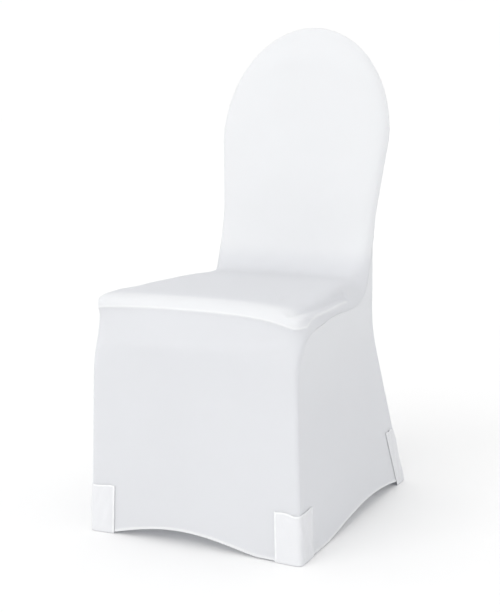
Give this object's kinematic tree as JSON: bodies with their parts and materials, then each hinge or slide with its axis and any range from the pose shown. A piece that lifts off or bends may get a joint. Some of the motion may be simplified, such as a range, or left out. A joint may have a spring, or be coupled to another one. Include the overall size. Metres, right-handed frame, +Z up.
{
  "type": "chair cover",
  "caption": "Fitted white stretch-knit cover for a round-topped banquet chair, with arched hems and a foot pocket round each leg.",
  "frame": {"origin": "on the floor under the middle of the cover's bounding box", "axes": "+Z up; -Y towards the front of the chair; +X to the right as seen from the front"},
  "size_m": [0.4302, 0.5582, 0.9282],
  "materials": {
    "knit": "matt stretch knit",
    "pocket_knit": "matt stretch knit, doubled"
  },
  "bodies": {
    "root": {"front_panel": "knit", "rear_panel": "knit", "side_panel_left": "knit", "side_panel_right": "knit", "foot_pocket_front_left": "pocket_knit", "foot_pocket_front_right": "pocket_knit", "foot_pocket_rear_left": "pocket_knit", "foot_pocket_rear_right": "pocket_knit"}
  },
  "joints": []
}
